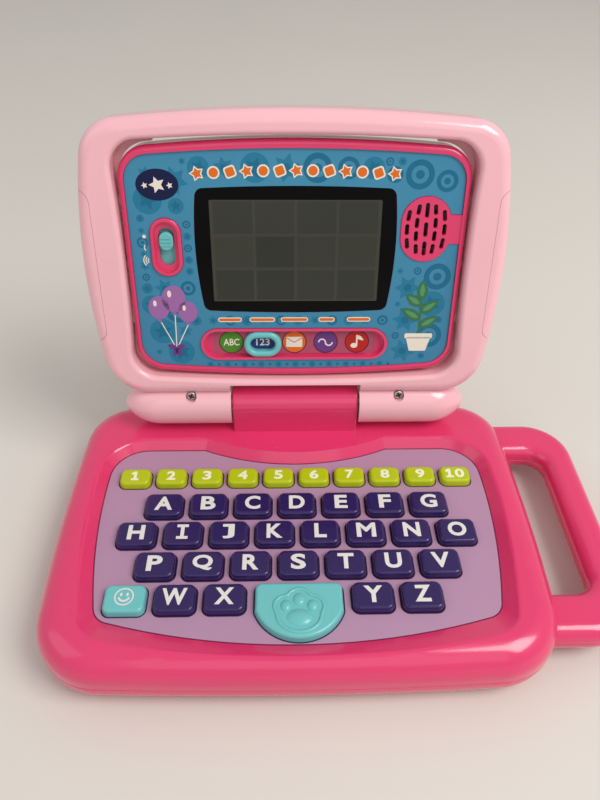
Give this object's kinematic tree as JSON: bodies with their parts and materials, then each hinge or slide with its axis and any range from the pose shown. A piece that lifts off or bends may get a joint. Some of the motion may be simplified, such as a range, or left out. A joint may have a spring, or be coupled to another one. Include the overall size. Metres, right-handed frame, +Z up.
{
  "type": "toy laptop computer",
  "caption": "Toy laptop: keyboard base with moving keys and a side carry handle, hinged lid holding a flip-over touch screen with a volume slider and a sliding mode ring.",
  "frame": {"origin": "on the underside of the base, midway between its sides, at mid depth of the base", "axes": "+Z up from the table, +X to the user's right toward the carry handle, +Y toward the hinge at the rear"},
  "size_m": [0.296, 0.2095, 0.2079],
  "materials": {
    "hot_pink_plastic": "glossy moulded plastic",
    "light_pink_plastic": "glossy moulded plastic",
    "lavender_plastic": "satin moulded plastic",
    "purple_plastic": "satin gloss key caps",
    "lime_plastic": "satin gloss key caps",
    "teal_plastic": "satin gloss plastic",
    "blue_print": "printed plate",
    "black_window": "polished window",
    "display_grey": "display glass",
    "grey_rubber": "moulded silicone rubber",
    "board_green": "circuit board",
    "black_plastic": "moulded plastic",
    "plated_steel": "zinc plated"
  },
  "bodies": {
    "base": {"base_top_shell": "hot_pink_plastic", "base_bottom_shell": "hot_pink_plastic", "keyboard_deck": "lavender_plastic", "key_membrane": "grey_rubber", "keyboard_board": "board_green", "battery_door": "hot_pink_plastic", "battery_contacts": "plated_steel", "base_screws": "plated_steel", "hinge_pins": "plated_steel"},
    "lid": {"lid_front_frame": "light_pink_plastic", "lid_rear_frame": "light_pink_plastic", "lid_screws": "plated_steel", "pivot_caps": "light_pink_plastic"},
    "screen": {"screen_front_shell": "hot_pink_plastic", "screen_rear_shell": "hot_pink_plastic", "front_panel": "blue_print", "touch_window": "black_window", "lcd_panel": "display_grey", "main_board": "board_green", "speaker": "black_plastic"},
    "volume": {"volume_slider": "teal_plastic"},
    "mode": {"mode_slider": "teal_plastic"},
    "number_key_1_body": {"number_key_1": "lime_plastic"},
    "number_key_2_body": {"number_key_2": "lime_plastic"},
    "number_key_3_body": {"number_key_3": "lime_plastic"},
    "number_key_4_body": {"number_key_4": "lime_plastic"},
    "number_key_5_body": {"number_key_5": "lime_plastic"},
    "number_key_6_body": {"number_key_6": "lime_plastic"},
    "number_key_7_body": {"number_key_7": "lime_plastic"},
    "number_key_8_body": {"number_key_8": "lime_plastic"},
    "number_key_9_body": {"number_key_9": "lime_plastic"},
    "number_key_10_body": {"number_key_10": "lime_plastic"},
    "letter_key_a_body": {"letter_key_a": "purple_plastic"},
    "letter_key_b_body": {"letter_key_b": "purple_plastic"},
    "letter_key_c_body": {"letter_key_c": "purple_plastic"},
    "letter_key_d_body": {"letter_key_d": "purple_plastic"},
    "letter_key_e_body": {"letter_key_e": "purple_plastic"},
    "letter_key_f_body": {"letter_key_f": "purple_plastic"},
    "letter_key_g_body": {"letter_key_g": "purple_plastic"},
    "letter_key_h_body": {"letter_key_h": "purple_plastic"},
    "letter_key_i_body": {"letter_key_i": "purple_plastic"},
    "letter_key_j_body": {"letter_key_j": "purple_plastic"},
    "letter_key_k_body": {"letter_key_k": "purple_plastic"},
    "letter_key_l_body": {"letter_key_l": "purple_plastic"},
    "letter_key_m_body": {"letter_key_m": "purple_plastic"},
    "letter_key_n_body": {"letter_key_n": "purple_plastic"},
    "letter_key_o_body": {"letter_key_o": "purple_plastic"},
    "letter_key_p_body": {"letter_key_p": "purple_plastic"},
    "letter_key_q_body": {"letter_key_q": "purple_plastic"},
    "letter_key_r_body": {"letter_key_r": "purple_plastic"},
    "letter_key_s_body": {"letter_key_s": "purple_plastic"},
    "letter_key_t_body": {"letter_key_t": "purple_plastic"},
    "letter_key_u_body": {"letter_key_u": "purple_plastic"},
    "letter_key_v_body": {"letter_key_v": "purple_plastic"},
    "letter_key_w_body": {"letter_key_w": "purple_plastic"},
    "letter_key_x_body": {"letter_key_x": "purple_plastic"},
    "letter_key_y_body": {"letter_key_y": "purple_plastic"},
    "letter_key_z_body": {"letter_key_z": "purple_plastic"},
    "smile_key_body": {"smile_key": "teal_plastic"},
    "paw_key_body": {"paw_key": "teal_plastic"}
  },
  "joints": [
    {"name": "lid_hinge", "type": "hinge", "parent": "base", "child": "lid", "pos_m": [0, 0.072, 0.049], "axis": [1, 0, 0], "range_deg": [0, 103.7]},
    {"name": "screen_flip", "type": "hinge", "parent": "lid", "child": "screen", "pos_m": [0, 0.09199, 0.131], "axis": [1, 0, 0], "range_deg": [0, 180]},
    {"name": "volume_slide", "type": "slide", "parent": "screen", "child": "volume", "axis": [0, -0.2368, -0.9715], "range_m": [0, 0.0065]},
    {"name": "mode_slide", "type": "slide", "parent": "screen", "child": "mode", "axis": [1, 0, 0], "range_m": [-0.01765, 0.05295]},
    {"name": "paw_key_press", "type": "slide", "parent": "base", "child": "paw_key_body", "axis": [0, 0, -1], "range_m": [0, 0.002], "stiffness_N_per_m": 300, "springref_m": -0.0005},
    {"name": "letter_key_a_press", "type": "slide", "parent": "base", "child": "letter_key_a_body", "axis": [0, 0, -1], "range_m": [0, 0.002], "stiffness_N_per_m": 300, "springref_m": -0.0005},
    {"name": "number_key_1_press", "type": "slide", "parent": "base", "child": "number_key_1_body", "axis": [0, 0, -1], "range_m": [0, 0.002], "stiffness_N_per_m": 300, "springref_m": -0.0005},
    {"name": "smile_key_press", "type": "slide", "parent": "base", "child": "smile_key_body", "axis": [0, 0, -1], "range_m": [0, 0.002], "stiffness_N_per_m": 300, "springref_m": -0.0005},
    {"name": "number_key_2_press", "type": "slide", "parent": "base", "child": "number_key_2_body", "axis": [0, 0, -1], "range_m": [0, 0.002], "stiffness_N_per_m": 300, "springref_m": -0.0005},
    {"name": "number_key_3_press", "type": "slide", "parent": "base", "child": "number_key_3_body", "axis": [0, 0, -1], "range_m": [0, 0.002], "stiffness_N_per_m": 300, "springref_m": -0.0005},
    {"name": "number_key_4_press", "type": "slide", "parent": "base", "child": "number_key_4_body", "axis": [0, 0, -1], "range_m": [0, 0.002], "stiffness_N_per_m": 300, "springref_m": -0.0005},
    {"name": "number_key_5_press", "type": "slide", "parent": "base", "child": "number_key_5_body", "axis": [0, 0, -1], "range_m": [0, 0.002], "stiffness_N_per_m": 300, "springref_m": -0.0005},
    {"name": "number_key_6_press", "type": "slide", "parent": "base", "child": "number_key_6_body", "axis": [0, 0, -1], "range_m": [0, 0.002], "stiffness_N_per_m": 300, "springref_m": -0.0005},
    {"name": "number_key_7_press", "type": "slide", "parent": "base", "child": "number_key_7_body", "axis": [0, 0, -1], "range_m": [0, 0.002], "stiffness_N_per_m": 300, "springref_m": -0.0005},
    {"name": "number_key_8_press", "type": "slide", "parent": "base", "child": "number_key_8_body", "axis": [0, 0, -1], "range_m": [0, 0.002], "stiffness_N_per_m": 300, "springref_m": -0.0005},
    {"name": "number_key_9_press", "type": "slide", "parent": "base", "child": "number_key_9_body", "axis": [0, 0, -1], "range_m": [0, 0.002], "stiffness_N_per_m": 300, "springref_m": -0.0005},
    {"name": "number_key_10_press", "type": "slide", "parent": "base", "child": "number_key_10_body", "axis": [0, 0, -1], "range_m": [0, 0.002], "stiffness_N_per_m": 300, "springref_m": -0.0005},
    {"name": "letter_key_b_press", "type": "slide", "parent": "base", "child": "letter_key_b_body", "axis": [0, 0, -1], "range_m": [0, 0.002], "stiffness_N_per_m": 300, "springref_m": -0.0005},
    {"name": "letter_key_c_press", "type": "slide", "parent": "base", "child": "letter_key_c_body", "axis": [0, 0, -1], "range_m": [0, 0.002], "stiffness_N_per_m": 300, "springref_m": -0.0005},
    {"name": "letter_key_d_press", "type": "slide", "parent": "base", "child": "letter_key_d_body", "axis": [0, 0, -1], "range_m": [0, 0.002], "stiffness_N_per_m": 300, "springref_m": -0.0005},
    {"name": "letter_key_e_press", "type": "slide", "parent": "base", "child": "letter_key_e_body", "axis": [0, 0, -1], "range_m": [0, 0.002], "stiffness_N_per_m": 300, "springref_m": -0.0005},
    {"name": "letter_key_f_press", "type": "slide", "parent": "base", "child": "letter_key_f_body", "axis": [0, 0, -1], "range_m": [0, 0.002], "stiffness_N_per_m": 300, "springref_m": -0.0005},
    {"name": "letter_key_g_press", "type": "slide", "parent": "base", "child": "letter_key_g_body", "axis": [0, 0, -1], "range_m": [0, 0.002], "stiffness_N_per_m": 300, "springref_m": -0.0005},
    {"name": "letter_key_h_press", "type": "slide", "parent": "base", "child": "letter_key_h_body", "axis": [0, 0, -1], "range_m": [0, 0.002], "stiffness_N_per_m": 300, "springref_m": -0.0005},
    {"name": "letter_key_i_press", "type": "slide", "parent": "base", "child": "letter_key_i_body", "axis": [0, 0, -1], "range_m": [0, 0.002], "stiffness_N_per_m": 300, "springref_m": -0.0005},
    {"name": "letter_key_j_press", "type": "slide", "parent": "base", "child": "letter_key_j_body", "axis": [0, 0, -1], "range_m": [0, 0.002], "stiffness_N_per_m": 300, "springref_m": -0.0005},
    {"name": "letter_key_k_press", "type": "slide", "parent": "base", "child": "letter_key_k_body", "axis": [0, 0, -1], "range_m": [0, 0.002], "stiffness_N_per_m": 300, "springref_m": -0.0005},
    {"name": "letter_key_l_press", "type": "slide", "parent": "base", "child": "letter_key_l_body", "axis": [0, 0, -1], "range_m": [0, 0.002], "stiffness_N_per_m": 300, "springref_m": -0.0005},
    {"name": "letter_key_m_press", "type": "slide", "parent": "base", "child": "letter_key_m_body", "axis": [0, 0, -1], "range_m": [0, 0.002], "stiffness_N_per_m": 300, "springref_m": -0.0005},
    {"name": "letter_key_n_press", "type": "slide", "parent": "base", "child": "letter_key_n_body", "axis": [0, 0, -1], "range_m": [0, 0.002], "stiffness_N_per_m": 300, "springref_m": -0.0005},
    {"name": "letter_key_o_press", "type": "slide", "parent": "base", "child": "letter_key_o_body", "axis": [0, 0, -1], "range_m": [0, 0.002], "stiffness_N_per_m": 300, "springref_m": -0.0005},
    {"name": "letter_key_p_press", "type": "slide", "parent": "base", "child": "letter_key_p_body", "axis": [0, 0, -1], "range_m": [0, 0.002], "stiffness_N_per_m": 300, "springref_m": -0.0005},
    {"name": "letter_key_q_press", "type": "slide", "parent": "base", "child": "letter_key_q_body", "axis": [0, 0, -1], "range_m": [0, 0.002], "stiffness_N_per_m": 300, "springref_m": -0.0005},
    {"name": "letter_key_r_press", "type": "slide", "parent": "base", "child": "letter_key_r_body", "axis": [0, 0, -1], "range_m": [0, 0.002], "stiffness_N_per_m": 300, "springref_m": -0.0005},
    {"name": "letter_key_s_press", "type": "slide", "parent": "base", "child": "letter_key_s_body", "axis": [0, 0, -1], "range_m": [0, 0.002], "stiffness_N_per_m": 300, "springref_m": -0.0005},
    {"name": "letter_key_t_press", "type": "slide", "parent": "base", "child": "letter_key_t_body", "axis": [0, 0, -1], "range_m": [0, 0.002], "stiffness_N_per_m": 300, "springref_m": -0.0005},
    {"name": "letter_key_u_press", "type": "slide", "parent": "base", "child": "letter_key_u_body", "axis": [0, 0, -1], "range_m": [0, 0.002], "stiffness_N_per_m": 300, "springref_m": -0.0005},
    {"name": "letter_key_v_press", "type": "slide", "parent": "base", "child": "letter_key_v_body", "axis": [0, 0, -1], "range_m": [0, 0.002], "stiffness_N_per_m": 300, "springref_m": -0.0005},
    {"name": "letter_key_w_press", "type": "slide", "parent": "base", "child": "letter_key_w_body", "axis": [0, 0, -1], "range_m": [0, 0.002], "stiffness_N_per_m": 300, "springref_m": -0.0005},
    {"name": "letter_key_x_press", "type": "slide", "parent": "base", "child": "letter_key_x_body", "axis": [0, 0, -1], "range_m": [0, 0.002], "stiffness_N_per_m": 300, "springref_m": -0.0005},
    {"name": "letter_key_y_press", "type": "slide", "parent": "base", "child": "letter_key_y_body", "axis": [0, 0, -1], "range_m": [0, 0.002], "stiffness_N_per_m": 300, "springref_m": -0.0005},
    {"name": "letter_key_z_press", "type": "slide", "parent": "base", "child": "letter_key_z_body", "axis": [0, 0, -1], "range_m": [0, 0.002], "stiffness_N_per_m": 300, "springref_m": -0.0005}
  ]
}
